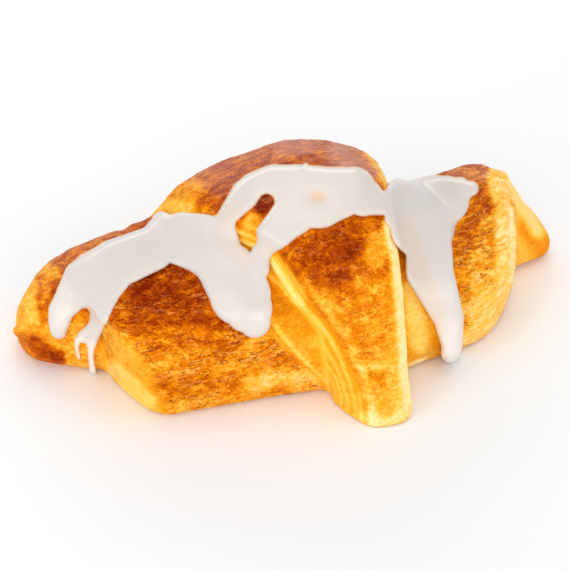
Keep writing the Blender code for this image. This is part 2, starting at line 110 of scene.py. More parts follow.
def hard_or(a, b):
    return np.minimum(a, b)


def round_and(a, b, r):
    """Where both are negative, with the outer corner rounded to r."""
    ua = np.maximum(a + r, 0)
    ub = np.maximum(b + r, 0)
    return np.minimum(-r, np.maximum(a, b)) + np.sqrt(ua * ua + ub * ub)


def round_or(a, b, r):
    return -round_and(-a, -b, r)


class Noise:
    """Gradient noise in three dimensions, the same on every run."""

    def __init__(self, seed):
        rng = np.random.RandomState(seed)
        self.p = np.tile(rng.permutation(256), 3)
        g = rng.normal(size=(256, 3))
        self.g = g / np.linalg.norm(g, axis=1)[:, None]

    def one(self, q):
        i = np.floor(q).astype(np.int64)
        f = q - i
        u = f * f * f * (f * (f * 6 - 15) + 10)
        i &= 255
        out = 0.0
        for a in (0, 1):
            for b in (0, 1):
                for c in (0, 1):
                    g = self.g[self.p[self.p[self.p[i[:, 0] + a] + i[:, 1] + b] + i[:, 2] + c]]
                    w = np.where(a, u[:, 0], 1 - u[:, 0]) * np.where(b, u[:, 1], 1 - u[:, 1]) * np.where(c, u[:, 2], 1 - u[:, 2])
                    out = out + w * ((f - (a, b, c)) * g).sum(1)
        return out * 1.5

    def __call__(self, q, size, octaves=1, gain=0.5):
        """About -1 to 1 at the points q; size is one lump's, in q's unit, or one for each axis."""
        q = q / np.asarray(size, float)
        out, k, total = 0.0, 1.0, 0.0
        for n in range(octaves):
            out = out + k * self.one(q * 2.03**n + 17.3 * n)
            total += k
            k *= gain
        return out / total


def chain(strokes, x, y):
    """Distance to a chain of round-ended strokes (across, down, radius), negative inside."""
    if len(strokes) == 1:
        cx, cy, r = strokes[0]
        return np.hypot(x - cx, y - cy) - r
    out = np.full(x.shape, 1e9)
    for (x0, y0, r0), (x1, y1, r1) in zip(strokes[:-1], strokes[1:]):
        dx, dy = x1 - x0, y1 - y0
        t = np.clip(((x - x0) * dx + (y - y0) * dy) / (dx * dx + dy * dy), 0, 1)
        out = np.minimum(out, np.hypot(x - x0 - t * dx, y - y0 - t * dy) - (r0 + t * (r1 - r0)))
    return out


class Spine:
    """A curve in plan. Gives the length along it and the distance to its front side."""

    def __init__(self, points, reach, zero_at_x=None):
        p = np.asarray(points, float)
        q = np.vstack([2 * p[0] - p[1], p, 2 * p[-1] - p[-2]])
        c = []
        for i in range(1, len(q) - 2):
            p0, p1, p2, p3 = q[i - 1 : i + 3]
            t = np.linspace(0, 1, 24, endpoint=False)[:, None]
            c.append(0.5 * (2 * p1 + (p2 - p0) * t + (2 * p0 - 5 * p1 + 4 * p2 - p3) * t**2 + (3 * p1 - p0 - 3 * p2 + p3) * t**3))
        c = np.vstack(c + [p[-1:]])
        a, b = c[0] - c[1], c[-1] - c[-2]
        c = np.vstack([c[0] + a / np.linalg.norm(a) * reach, c, c[-1] + b / np.linalg.norm(b) * reach])
        run = np.r_[0, np.cumsum(np.linalg.norm(np.diff(c, axis=0), axis=1))]
        t = np.linspace(0, run[-1], int(run[-1]))
        self.c = np.stack([np.interp(t, run, c[:, k]) for k in (0, 1)], 1)
        self.s = t - reach
        if zero_at_x is not None:
            self.s = self.s - self.s[np.argmin(abs(self.c[:, 0] - zero_at_x))]
        d = np.gradient(self.c, axis=0)
        self.t = d / np.linalg.norm(d, axis=1)[:, None]
        self.n_ = np.stack([self.t[:, 1], -self.t[:, 0]], 1)

        # worked out once on a 1 mm grid, then read between its points
        self.low, self.n = np.array([-104.0, -82.0]), (210, 128)
        x, y = np.meshgrid(*[self.low[k] + np.arange(self.n[k]) for k in (0, 1)], indexing="ij")
        q = np.stack([x.ravel(), y.ravel()], 1)
        near = np.concatenate([((q[a : a + 4000, None, :] - self.c[None]) ** 2).sum(2).argmin(1) for a in range(0, len(q), 4000)])
        v = q - self.c[near]
        self.grid_s = (self.s[near] + (v * self.t[near]).sum(1)).reshape(self.n)
        self.grid_d = (v * self.n_[near]).sum(1).reshape(self.n)

    def __call__(self, x, y):
        u = np.clip(x - self.low[0], 0, self.n[0] - 1.001)
        w = np.clip(y - self.low[1], 0, self.n[1] - 1.001)
        i, j = u.astype(np.int64), w.astype(np.int64)
        u, w = u - i, w - j
        k = ((1 - u) * (1 - w), u * (1 - w), (1 - u) * w, u * w)
        out = []
        for g in (self.grid_s, self.grid_d):
            out.append(g[i, j] * k[0] + g[i + 1, j] * k[1] + g[i, j + 1] * k[2] + g[i + 1, j + 1] * k[3])
        return out


# ------------------------------------------------------- crust, as a field
ROLL_SPINE = Spine([(-78, 16), (-62, 4), (-40, -2), (-10, -5), (20, -5), (48, -1), (68, 10), (80, 24)], 40, 0)
LEFT_SPINE = Spine([(-40, -4), (-60, 2), (-76, 9), (-88, 16)], 30)
RIGHT_SPINE = Spine([(40, 0), (62, 7), (78, 10), (92, 11)], 30)
# along, front half width, back half width, height, height of the widest line
ROLL = columns([(-80, 40, 20, 32, 14), (-62, 46, 22, 37, 15), (-50, 43.5, 24, 38.5, 17), (-20, 40, 30, 43.5, 18), (5, 41, 28, 43, 18),
                (30, 38, 22, 38, 18), (48, 36, 20, 35.5, 17), (60, 32, 17, 36.5, 16), (70, 27, 14, 35, 15), (78, 17, 12, 33, 14), (85, 10, 10, 32, 13)])
LEFT_HORN = columns([(0, 23, 21, 40, 15.5), (20, 21, 20, 38, 15), (32, 19.5, 18, 33.5, 14), (42, 17.5, 16, 27, 13),
                     (50, 15, 14, 20.5, 11), (58, 12, 11, 15, 9)])
RIGHT_HORN = columns([(0, 20, 15, 33, 14), (15, 18.5, 15, 34, 13), (29, 17, 14.5, 34, 12), (38, 16, 12, 31, 10),
                      (42, 15, 11, 25.5, 9), (46, 14, 10, 18.5, 8), (50, 12.5, 9, 13.5, 6.5), (54, 11, 8, 9, 5), (60, 9, 6, 6, 3)])
AXIS = 24.0
OUTER = np.array([(-30, -8), (-36, 6), (-39, 20), (-38, 36), (-31, 50), (-18, 59), (0, 63), (16, 62), (30, 56), (41, 45),
                  (48, 34), (54, 22), (59, 9), (62.2, 0), (61, -8), (40, -14), (0, -14)], float)
_t = np.degrees(np.arctan2(OUTER[:, 1] - AXIS, OUTER[:, 0]))
_t = np.where(_t < -120, _t + 360, _t)
_o = np.argsort(_t)
OUTER_REACH = cubic(_t[_o], np.hypot(OUTER[:, 0], OUTER[:, 1] - AXIS)[_o])
# angle round the roll from the front, left edge, right edge
OUTER_EDGES = columns([(-60, 1.5, 16), (-30, 2, 16.5), (-18, 3.5, 16), (0, 0.5, 17), (20, -7, 18.5), (45, -14.5, 21), (65, -26.5, 25),
                       (90, -37, 30), (120, -43, 33.5), (160, -47, 36), (200, -47, 36), (240, -47, 36)])
OUTER_CREST = cubic([-60, -52, -45, -36, -25, -10, 4, 14, 24, 32, 38], [29, 34, 39, 47.7, 53.3, 58, 60.5, 59, 54, 49, 44.5])
OUTER_PROUD = cubic([-60, -42, -25, 30, 40], [1.5, 2.0, 4.5, 4.5, 3.5])     # at least this far above the roll, round the back
WALL_FLARE = cubic([-40, -18, 0, 25, 60], [0.12, 0.45, 0.75, 0.8, 0.6])                     # how far the left cut edge leans out, by angle
UNDER_EDGES = columns([(-60, -2, 31), (-30, -3, 33), (-15, -9, 34), (0, -16, 35), (15, -22, 36), (30, -27, 36), (60, -35, 37), (90, -40, 38),
                       (150, -43, 38), (240, -43, 38)])


def section(d, z, front, back, top, widest, sink, dome, box):
    a = np.where(d > 0, front, back)
    high = z > widest
    b = np.where(high, top - widest, widest + sink)
    n = np.where(high, dome, box)
    dz = z - widest
    q = (np.abs(d / a) ** n + np.abs(dz / b) ** n) ** (1 / n)
    return np.sqrt(d * d + dz * dz) * (1 - 1 / np.maximum(q, 1e-3))


def turned(d, z):
    th = np.degrees(np.arctan2(z - AXIS, d))
    return np.where(th < -100, th + 360, th)


def strands(depth, along):
    """Cut edges of the wrap's layers, about 0 at a groove and 1 on a layer."""
    wander = 0.50 * np.sin(along * 0.055 + 0.6) + 0.25 * np.sin(along * 0.13 + 2.0) + 0.12 * np.sin(depth * 0.45 + along * 0.03)
    q = depth / (3.3 + 0.5 * np.sin(along * 0.04)) + 0.5 * wander
    wave = 0.5 - 0.5 * np.cos(2 * math.pi * q)
    return wave * (1.5 - 0.5 * wave)


class Places:
    """Points with the coordinates that every part of the field needs."""

    def __init__(self, x, y, z, rs=None, rd=None, ls=None, ld=None, hs=None, hd=None):
        self.x, self.y, self.z = x, y, z
        if rs is None:
            rs, rd = ROLL_SPINE(x, y)
            ls, ld = LEFT_SPINE(x, y)
            hs, hd = RIGHT_SPINE(x, y)
        self.rs, self.rd, self.ls, self.ld, self.hs, self.hd = rs, rd, ls, ld, hs, hd


def f_roll(p):
    a, b, top, mid = [g(p.rs) for g in ROLL]
    f = section(p.rd, p.z, a, b, top, mid, 6, 2.5, 5.0)
    left = (p.x + 74) * -0.88 + (p.y + 10) * -0.475 - 0.2 * p.z
    f = round_and(f, left, 4)
    f = round_and(f, -(p.rs + 64), 12)
    right = (p.x - 72.5) * 0.951 - (p.y + 14) * 0.309 + 0.02 * (p.z - 20)
    corner = 0.83 * (p.x - 70) - 0.555 * (p.y + 16) - 0.2 * p.z
    return round_and(f, round_and(round_and(right, corner, 3), p.rs - 80.5, 3), 6)


def f_left(p):
    a, b, top, mid = [g(p.ls) for g in LEFT_HORN]
    f = section(-p.ld, p.z, a, b, top, mid, 4, 2.2, 3)
    return np.maximum(round_and(f, p.ls - 52, 10), 4 - p.ls)


def f_right(p):
    a, b, top, mid = [g(p.hs) for g in RIGHT_HORN]
    f = section(p.hd, p.z, a, b, top, mid, 2, 2.0, 2.6)
    return np.maximum(round_and(f, p.hs - 53.5, 4), 4 - p.hs)


def outer_depth(p, th):
    """Distance to the outer wrap's skin, negative inside."""
    k = OUTER_CREST(p.rs) / 63.0
    m = np.clip((th - 15) / 55, 0, 1)
    reach = OUTER_REACH(th) * (1 + (k - 1) * m * m * (3 - 2 * m))
    left, right = [g(th) for g in OUTER_EDGES]
    u = (p.rs - (left + right) / 2) / ((right - left) / 2)
    f = np.hypot(p.rd, p.z - AXIS) - (reach - 2.5 * np.clip(u * u, 0, 1.2))
    a, b, top, mid = [g(p.rs) for g in ROLL]
    proud = OUTER_PROUD(p.rs)
    fr = section(p.rd, p.z, a + proud, b + proud, top + proud, mid, 6, 2.5, 5.0)
    sh = np.clip((th - 110) / 50, 0, 1)
    sh = sh * sh * (3 - 2 * sh)
    fm = (f + fr - np.sqrt((f - fr) ** 2 + 4)) / 2
    return f + (fm - f) * sh, left, right


def f_outer(p, fine=True):
    th = turned(p.rd, p.z)
    f, left, right = outer_depth(p, th)
    back = np.clip((th - 50) / 60, 0, 1)
    back = back * back * (3 - 2 * back)
    deep = np.maximum(-f, 0)
    el = left - p.rs - WALL_FLARE(th) * np.minimum(deep, 14)
    er = p.rs - right + 0.05 * deep
    if fine:
        show = 1 - smooth(70, 110, th)
        el = el - 0.6 * (strands(deep, th) - 0.5) * smooth(0.5, 3.0, deep) * smooth(11, 7, deep) * show * (0.15 + 0.85 * smooth(-15, 15, th))
        er = er - 0.4 * (strands(deep * 1.2 + 1, th * 0.8) - 0.5) * smooth(1.0, 2.5, deep) * show
    e = np.maximum(el, er)
    r = np.where(el > er, 2.6, 4.0) + 3 * back
    return round_and(f, e, r)


def f_under(p):
    a, b, top, mid = [g(p.rs) for g in ROLL]
    f = section(p.rd, p.z, a + 2.5, b + 2, top + 2.5, mid, 4, 2.3, 3.2)
    left, right = [g(turned(p.rd, p.z)) for g in UNDER_EDGES]
    return round_and(f, np.maximum(left - p.rs, p.rs - right), 2.0)


PARTS = ("roll", "left", "right", "under", "outer")


def parts(p, fine=True):
    return f_roll(p), f_left(p), f_right(p), f_under(p), f_outer(p, fine)


def crust(p):
    f = parts(p)
    out = f[0]
    for g, r in zip(f[1:], (1.5, 1.0, 1.2, 3.0)):
        out = round_or(out, g, r)
    return round_and(out, -p.z, 1.5)


# ---------------------------------------------------------- icing, as a field
ICING = [
    [(201, 243.5, 30.5), (182.5, 239, 27), (162, 222, 10.5), (153, 248.5, 22.5), (115.5, 264, 25), (99.5, 277, 29.5)],
    [(82.5, 281.5, 22), (61.5, 310, 13.5), (58.5, 325, 11), (59, 330.5, 9)],
    [(99.5, 302.5, 17.5), (100, 318, 9.5), (94, 331, 8), (92, 341, 6), (91, 350, 3.5), (91, 358, 3.0), (92, 366, 3.1), (92.5, 371.5, 4.0)],
    [(94.5, 328, 6), (84, 336, 7), (78, 340, 3.8), (76.5, 346, 2.6), (77.5, 353, 2.4), (79, 358, 2.1)],
    [(205.5, 245, 25.5), (217, 267.5, 21.5), (240, 295, 31), (248, 308.5, 24.5), (254.5, 322, 16)],
    [(204.5, 247.5, 25), (235.5, 240, 31), (262.5, 213.5, 41), (263.5, 201, 32)],
    [(251, 259.5, 22.5), (257, 251, 15.5), (285, 228, 3.5)],
    [(281, 197, 43.5), (275.5, 193, 29), (297, 196, 32.5), (318.5, 197, 32), (353, 190, 24), (363.5, 197, 20), (388.5, 207.5, 9.5)],
    [(408, 203.5, 30.5), (401.5, 194.5, 17), (444.5, 200.5, 25.5), (459, 191, 14.5), (471, 188.5, 8.5)],
    [(429.5, 205, 30), (422.5, 226, 33), (429, 250.5, 23.5), (429.5, 271, 24), (448.5, 318, 15.5), (452, 344, 11), (450.5, 354, 9.5)],
]
ICING_HOLES = [
    [(266.5, 202, 7), (261, 210.5, 7), (245.5, 227, 9.5), (248, 239.5, 8.5), (250, 251, 1)],
    [(70, 335, 4), (76, 319.5, 4), (85, 313, 5)],
]


def icing_edge(a, b):
    """Distance to the icing's outline on the sight plane, in millimetres."""
    out = np.full(a.shape, 1e3)
    k = 4.0
    for strokes in ICING:
        d = chain(strokes, a, b)
        h = np.maximum(k - np.abs(out - d), 0) / k
        out = np.minimum(out, d) - h * h * k / 4
    for strokes in ICING_HOLES:
        out = np.maximum(out, -chain(strokes, a, b))
    return out * STEP


def icing_thickness(a, b):
    t = np.full(a.shape, 1.7)
    for (cx, cy), r, gain in (((255, 322), 30, 1.0), ((60, 326), 18, 0.7), ((451, 356), 13, 3.2), ((300, 240), 30, 0.3)):
        t = t + gain * np.exp(-((a - cx) ** 2 + (b - cy) ** 2) / (r * r))
    t = t + 0.30 * np.sin(a * 0.075 + 0.7 * np.sin(b * 0.06)) * np.sin(b * 0.09 + 1.3 * np.sin(a * 0.035))
    t = t - 1.5 * np.exp(-((a - 318) ** 2 + (b - 198) ** 2 * 1.6) / (14 * 14))
    return t


def icing(p):
    q = np.stack([p.x, p.y, p.z], 1)
    a, b = sight(q)
    e = icing_edge(a, b)
    f = parts(p, False)
    bed = round_or(f[0], f[3], 12)               # it levels out over the folds of the wraps
    for g, r in zip((f[1], f[2], f[4]), (9, 4, 9)):
        bed = round_or(bed, g, r)
    hard = f[0]
    for g in f[1:]:
        hard = np.minimum(hard, g)
    out = round_and(bed - icing_thickness(a, b), e, 2.4)
    return np.maximum(np.maximum(out, -hard - 0.8), 0.1 - p.z)


# ------------------------------------------------------------- field to mesh
def grid_values(field, low, high, h, slack=1.5, margin=2.0):
    """The field on a grid, worked out only near its surface."""
    coarse = 4
    n = [int(math.ceil((high[k] - low[k]) / (h * coarse))) for k in range(3)]
    shape = [m * coarse + 1 for m in n]
    ax = [low[k] + h * np.arange(shape[k]) for k in range(3)]
    gx, gy = np.meshgrid(ax[0], ax[1], indexing="ij")
    flat = (gx.ravel(), gy.ravel())
    spine = [v.reshape(gx.shape) for pair in (ROLL_SPINE(*flat), LEFT_SPINE(*flat), RIGHT_SPINE(*flat)) for v in pair]

    def at(i, j, k):
        return field(Places(ax[0][i], ax[1][j], ax[2][k], *[v[i, j] for v in spine]))

    ci, cj, ck = [c.ravel() for c in np.meshgrid(*[np.arange(m + 1) * coarse for m in n], indexing="ij")]
    rough = at(ci, cj, ck).reshape([m + 1 for m in n])
    near = np.abs(rough) < h * coarse * slack + margin
    cell = np.zeros(n, bool)
    for a in (0, 1):
        for b in (0, 1):
            for c in (0, 1):
                cell |= near[a : n[0] + a, b : n[1] + b, c : n[2] + c]
    full = np.empty(shape, np.float32)
    full[:] = np.float32(1e3)
    sign = rough
    idx = [np.minimum((np.arange(shape[k]) + coarse // 2) // coarse, n[k]) for k in range(3)]
    full[:] = sign[np.ix_(*idx)]
    want = np.zeros(shape, bool)
    ii, jj, kk = np.nonzero(cell)
    for a in range(coarse + 1):
        for b in range(coarse + 1):
            for c in range(coarse + 1):
                want[ii * coarse + a, jj * coarse + b, kk * coarse + c] = True
    i, j, k = np.nonzero(want)
    for s in range(0, len(i), 400000):
        t = slice(s, s + 400000)
        full[i[t], j[t], k[t]] = at(i[t], j[t], k[t])
    return full


def surface(full, low, h):
    """One point in each cell that the surface passes, and a face for each grid line it cuts."""
    inside = full < 0
    m = [s - 1 for s in full.shape]
    count = np.zeros(m, np.uint8)
    corners = [(a, b, c) for a in (0, 1) for b in (0, 1) for c in (0, 1)]
    for a, b, c in corners:
        count += inside[a : m[0] + a, b : m[1] + b, c : m[2] + c]
    cells = np.argwhere((count > 0) & (count < 8))
    number = -np.ones(m, np.int64)
    number[cells[:, 0], cells[:, 1], cells[:, 2]] = np.arange(len(cells))
    value = np.stack([full[cells[:, 0] + a, cells[:, 1] + b, cells[:, 2] + c] for a, b, c in corners], 1)
    total = np.zeros((len(cells), 3))
    hits = np.zeros(len(cells))
    for u in range(8):
        for v in range(u + 1, 8):
            cu, cv = np.array(corners[u]), np.array(corners[v])
            if np.abs(cu - cv).sum() != 1:
                continue
            a, b = value[:, u], value[:, v]
            cut = (a < 0) != (b < 0)
            t = np.where(cut, a / np.where(cut, a - b, 1), 0)
            total += np.where(cut[:, None], cu + t[:, None] * (cv - cu), 0)
            hits += cut
    points = np.asarray(low) + h * (cells + total / hits[:, None])
    faces = []
    for axis in range(3):
        o = [k for k in range(3) if k != axis]
        s0, s1 = [slice(None)] * 3, [slice(None)] * 3
        s0[axis], s1[axis] = slice(0, -1), slice(1, None)
        for k in o:
            s0[k] = s1[k] = slice(1, -1)
        a, b = inside[tuple(s0)], inside[tuple(s1)]
        for way, cut in ((1, a & ~b), (-1, ~a & b)):
            p = np.argwhere(cut)
            if not len(p):
                continue
            ring = []
            for du, dv in ((0, 0), (1, 0), (1, 1), (0, 1)):
                q = p.copy()
                q[:, o[0]] += du
                q[:, o[1]] += dv
                ring.append(number[q[:, 0], q[:, 1], q[:, 2]])
            quad = np.stack(ring, 1)
            faces.append(quad[:, ::-1] if (way < 0) ^ (axis == 1) else quad)
    return points, np.vstack(faces)


def slope(field, v, d=0.12):
    """Value and unit normal of the field at the points."""
    k = np.array([(1, -1, -1), (-1, -1, 1), (-1, 1, -1), (1, 1, 1)], float)
    g = np.zeros_like(v)
    total = 0.0
    for row in k:
        q = v + row * d
        f = field(Places(q[:, 0], q[:, 1], q[:, 2]))
        g += f[:, None] * row
        total = total + f
    g /= 4 * d
    size = np.linalg.norm(g, axis=1)
    return total / 4, g, np.maximum(size, 1e-6)


def settle(field, v, steps=2, limit=0.35):
    for _ in range(steps):
        f, g, size = slope(field, v)
        move = np.clip(f / size, -limit, limit)
        v = v - g / size[:, None] * move[:, None]
    return v


def face_normals(v, faces):
    n = np.cross(v[faces[:, 2]] - v[faces[:, 0]], v[faces[:, 3]] - v[faces[:, 1]])
    out = np.zeros_like(v)
    for k in range(4):
        np.add.at(out, faces[:, k], n)
    return out / np.maximum(np.linalg.norm(out, axis=1), 1e-9)[:, None]


def make_mesh(name, v, faces, attributes=()):
    mesh = bpy.data.meshes.new(name)
    p = (v - ORIGIN) * MM
    mesh.vertices.add(len(p))
    mesh.vertices.foreach_set("co", p.astype(np.float32).ravel())
    mesh.loops.add(faces.size)
    mesh.loops.foreach_set("vertex_index", faces.astype(np.int32).ravel())
    mesh.polygons.add(len(faces))
    mesh.polygons.foreach_set("loop_start", (np.arange(len(faces)) * faces.shape[1]).astype(np.int32))
    mesh.update(calc_edges=True)
    mesh.validate()
    for key, data in attributes:
        kind = "FLOAT_VECTOR" if data.ndim == 2 else "FLOAT"
        made = mesh.attributes.new(key, kind, "POINT")
        made.data.foreach_set("vector" if data.ndim == 2 else "value", data.astype(np.float32).ravel())
    mesh.shade_smooth()
    ob = bpy.data.objects.new(name, mesh)
    bpy.context.scene.collection.objects.link(ob)
    return ob


# --------------------------------------------------------------- crust piece
H = 0.72
low, high = (-96.0, -72.0, -2.4), (97.0, 36.0, 67.0)
full = grid_values(crust, low, high, H)
v, faces = surface(full, low, H)
v = settle(crust, v)
_, g, size = slope(crust, v)
normal = g / size[:, None]
p = Places(v[:, 0], v[:, 1], v[:, 2])
each = np.stack(parts(p), 1)
which = each.argmin(1)
order = np.argsort(each, axis=1)[:, :2]
rows = np.arange(len(v))
crevice = each[rows, order[:, 1]] - each[rows, order[:, 0]]
turn = np.zeros(len(v))
for k in range(3):
    step = np.zeros(3)
    step[k] = 0.2
    other = np.stack(parts(Places(*(v + step).T)), 1)
    turn += (((other - each)[rows, order[:, 1]] - (other - each)[rows, order[:, 0]]) / 0.2) ** 2
crevice = crevice * 1.3 / np.clip(np.sqrt(turn), 0.35, 1.3)   # small beside a seam where two parts meet at an angle
across, down = sight(v)
facing = normal @ BACK
th = turned(p.rd, p.z)

# where a point lies on its own part: along it, and round it from the front
is_roll, is_left, is_right, is_under, is_outer = [(which == k) for k in range(5)]
length = np.select([is_left, is_right, is_outer, is_under], [-p.ls - 60, p.hs + 70, p.rs + 7, p.rs + 130], p.rs)
girth = np.select([is_left, is_right], [-p.ld, p.hd], p.rd)
grain = np.stack([length, girth + np.where(is_outer, 40, 0), p.z], 1)
skew = grain * np.array([0.36, 1.0, 1.0])                  # lumps drawn out along the roll

deep, edge_left, edge_right = outer_depth(p, th)
deep = np.maximum(-deep, 0)
wall = np.where(is_outer, smooth(0.6, 2.2, deep), 0.0) * (1 - smooth(80, 120, th))
base = smooth(4.0, 0.2, v[:, 2])
up = normal[:, 2]
lead = edge_left - p.rs                       # over the outer wrap's left edge
hem = np.where(is_under, p.rs - UNDER_EDGES[0](th), 99.0)  # in from the under layer's left edge
end_face = np.where(is_roll, smooth(-2.5, -0.4, (p.x + 74) * -0.88 + (p.y + 10) * -0.475 - 0.2 * p.z), 0.0)
end_face = end_face * (p.rs < 0)


def seen_stroke(strokes, soft):
    """1 inside strokes drawn on the sight plane, fading over soft steps, on surfaces it can see."""
    return smooth(soft, 0.0, np.maximum(chain(strokes, across, down), 0.0)) * smooth(-0.05, 0.12, facing)


# how strongly each kind of surface shows
hidden = smooth(0.06, -0.12, facing)
flaky = np.select([is_left, is_right, is_outer, is_under], [0.55, mix(0.10, 0.5, hidden), 0.45, 0.5], 1.0) * (1 - wall) * (1 - 0.5 * end_face)
shaggy = seen_stroke([(150, 222, 6), (178, 200, 14), (205, 205, 8)], 14) * is_outer      # the hump's flaky shoulder
wrinkled = np.where(is_outer, smooth(60, 78, th) * (1 - shaggy), 0.0) + np.where(is_left, smooth(0.35, 0.75, up), 0.0)
flaky = np.maximum(flaky, shaggy)
wrinkled = np.clip(wrinkled + np.where(is_roll & (p.rs > 0), 0.6 * smooth(0.6, 0.9, up), 0.0), 0, 1)

# relief: soft lumps, flakes that lie in steps, wrinkles along the top
wave = Noise(3)(grain, (11, 10, 10), 2)
relief = 0.50 * wave * np.where(is_right, 0.4, 1.0)
steps = Noise(5)(skew, (3.4, 3.4, 3.4), 3, 0.6) * 2.6
steps = (np.floor(steps) + smooth(0.25, 0.75, steps - np.floor(steps))) / 2.6
relief += 0.55 * steps * flaky
relief += 0.34 * Noise(8)(grain * np.array([0.16, 1.0, 1.0]), (1.9, 2.3, 2.3), 2) * wrinkled
relief += 0.16 * Noise(9)(skew, (1.3, 1.3, 1.3), 2) * np.maximum(flaky, 0.3 * wall)
relief += 0.55 * smooth(1.6, 0.0, np.abs(hem - 2.2)) * smooth(60, 30, th)        # rolled hem of the under layer
relief += 0.7 * seen_stroke([(283, 329, 0.8), (290, 327, 1.2), (297, 322, 1.6), (304, 324, 0.8)], 2.2) * is_under
# the tongue's outermost flake stops short of its tip
ragged = 369 + 6.0 * Noise(21)(grain, (2.4, 2.4, 2.4), 3, 0.6)
on_tip = (is_outer & (th < 20)) * smooth(349, 355, across) * smooth(403, 398, across) * (1 - wall)
tip = on_tip * smooth(-1.0, 1.0, down - ragged)
relief -= 0.55 * tip
relief -= 1.0 * seen_stroke([(44, 280, 1.5), (47, 287, 2.0)], 4) * is_left
relief += 1.1 * smooth(7.0, 1.0, np.hypot(across - 17, down - 331)) * is_left
relief -= 0.8 * seen_stroke([(42, 300, 1.0), (44, 318, 2.0)], 4) * is_left
relief += 0.5 * seen_stroke([(404, 272, 1.0), (409, 284, 1.6), (417, 291, 1.0)], 2.5) * (is_under | is_roll)
relief += 0.45 * smooth(1.5, 0.2, np.abs(lead + 1.6 + 0.8 * wave)) * is_outer * (1 - wall) * smooth(80, 50, th)
relief = relief * (1 - 0.7 * base) * (0.15 + 0.85 * smooth(0.1, 1.8, crevice))
v = v + normal * relief[:, None]
v[:, 2] = np.maximum(v[:, 2], 0.0)
v[v[:, 2] < 0.12, 2] = 0.0


# ------------------------------------------------------------ how brown it is
lump = Noise(11)(grain, (16, 16, 16), 2)
bake = 0.34 + 0.36 * smooth(12, 42, v[:, 2]) * smooth(-0.2, 0.7, up) + 0.08 * lump
bake = np.where(is_right, mix(0.24 + 0.03 * lump, 0.36 + 0.34 * smooth(0.1, 0.9, up) + 0.08 * lump, hidden), bake)
bake = np.where(is_left, 0.34 + 0.30 * smooth(0.1, 0.9, up) + 0.08 * lump, bake)
bake = np.where(is_outer, mix(0.30 + 0.42 * smooth(30, 56, v[:, 2]) + 0.06 * lump, 0.41 + 0.04 * lump, wall), bake)
bake = np.where(is_under, 0.48 + 0.26 * smooth(24, 40, v[:, 2]) + 0.05 * lump, bake)


def only(mask, rows):
    """Each row: value, softness in steps, strokes."""
    global bake
    for value, soft, strokes in rows:
        bake = np.where(mask, mix(bake, value, seen_stroke(strokes, soft)), bake)


only(is_roll & (p.rs < 0), [
    (0.50, 26, [(190, 345, 50)]),
    (0.40, 16, [(130, 340, 8), (150, 365, 8), (250, 372, 8), (310, 372, 6)]),
    (0.80, 24, [(150, 285, 12), (185, 276, 16), (205, 300, 14)]),
    (0.77, 16, [(155, 306, 12), (205, 320, 14)]),
    (0.72, 10, [(138, 315, 6), (150, 322, 6)]),
    (0.56, 12, [(140, 330, 5), (180, 340, 10), (235, 350, 7)]),
    (0.46, 9, [(150, 366, 4), (185, 366, 5)]),
    (0.52, 11, [(160, 386, 3), (190, 380, 6), (228, 382, 4)]),
    (0.52, 10, [(262, 356, 4), (292, 362, 4)]),
    (0.36, 8, [(165, 412, 4), (190, 408, 4), (260, 399, 4), (335, 388, 3)]),
    (0.39, 8, [(104, 335, 5), (114, 348, 5)]),
    (0.20, 8, [(112, 368, 5), (128, 384, 6), (148, 402, 4)]),
    (0.20, 7, [(250, 385, 3), (330, 372, 3)]),
    (0.86, 10, [(150, 276, 5), (150, 296, 3), (165, 292, 3)]),
    (0.77, 10, [(140, 314, 7), (158, 321, 6)]),
])
only(is_roll & (p.rs > 0), [
    (0.34, 20, [(480, 320, 20), (450, 330, 16)]),
    (0.40, 16, [(485, 290, 12), (492, 230, 10)]),
    (0.62, 10, [(466, 228, 6), (474, 212, 5), (458, 246, 5)]),
    (0.44, 9, [(462, 266, 6), (466, 290, 4)]),
    (0.16, 10, [(484, 330, 5), (470, 340, 6)]),
    (0.26, 13, [(486, 280, 8), (484, 300, 8)]),
    (0.16, 12, [(480, 315, 7), (490, 300, 4)]),
    (0.38, 8, [(476, 262, 3), (482, 278, 3)]),
    (0.13, 9, [(498, 171, 4), (507, 180, 5), (513, 195, 4)]),
    (0.15, 9, [(494, 178, 4), (503, 205, 5), (507, 235, 6), (506, 275, 6), (501, 305, 5), (490, 332, 4)]),
    (0.06, 4, [(511, 210, 1), (513, 245, 1), (513, 280, 1)]),
    (0.04, 12, [(407, 300, 5), (425, 340, 6), (415, 360, 5)]),
])
only(is_outer, [
    (0.41, 25, [(350, 320, 30)]),
    (0.51, 10, [(350, 296, 8), (366, 300, 6)]),
    (0.26, 14, [(385, 380, 14), (378, 405, 12)]),
    (0.82, 14, [(308, 262, 8), (333, 252, 11), (356, 245, 4)]),
    (0.78, 11, [(325, 275, 8), (342, 280, 5)]),
    (0.34, 9, [(378, 240, 5), (376, 258, 7)]),
    (0.43, 13, [(348, 322, 4), (362, 334, 6), (360, 348, 5)]),
    (0.36, 12, [(374, 382, 6)]),
    (0.02, 8, [(388, 225, 1.5), (396, 262, 2), (401, 300, 2.5), (405, 350, 2.5), (408, 400, 2)]),
    (0.08, 8, [(365, 418, 3), (390, 424, 2), (408, 412, 3)]),
    (0.22, 7, [(275, 262, 3), (300, 300, 3)]),
    (0.40, 9, [(335, 385, 3), (345, 405, 3)]),
    (0.40, 12, [(150, 222, 6), (172, 205, 10), (192, 192, 8)]),
    (0.34, 8, [(165, 214, 5), (185, 204, 5)]),
    (0.72, 8, [(222, 178, 3), (206, 200, 4)]),
    (0.72, 8, [(225, 160, 4), (285, 152, 5), (340, 156, 5)]),
    (0.26, 7, [(368, 150, 2), (380, 166, 3), (390, 186, 3)]),
    (0.92, 5, [(268, 197, 5), (262, 208, 5)]),
    (0.34, 6, [(253, 222, 6), (249, 238, 6)]),
])
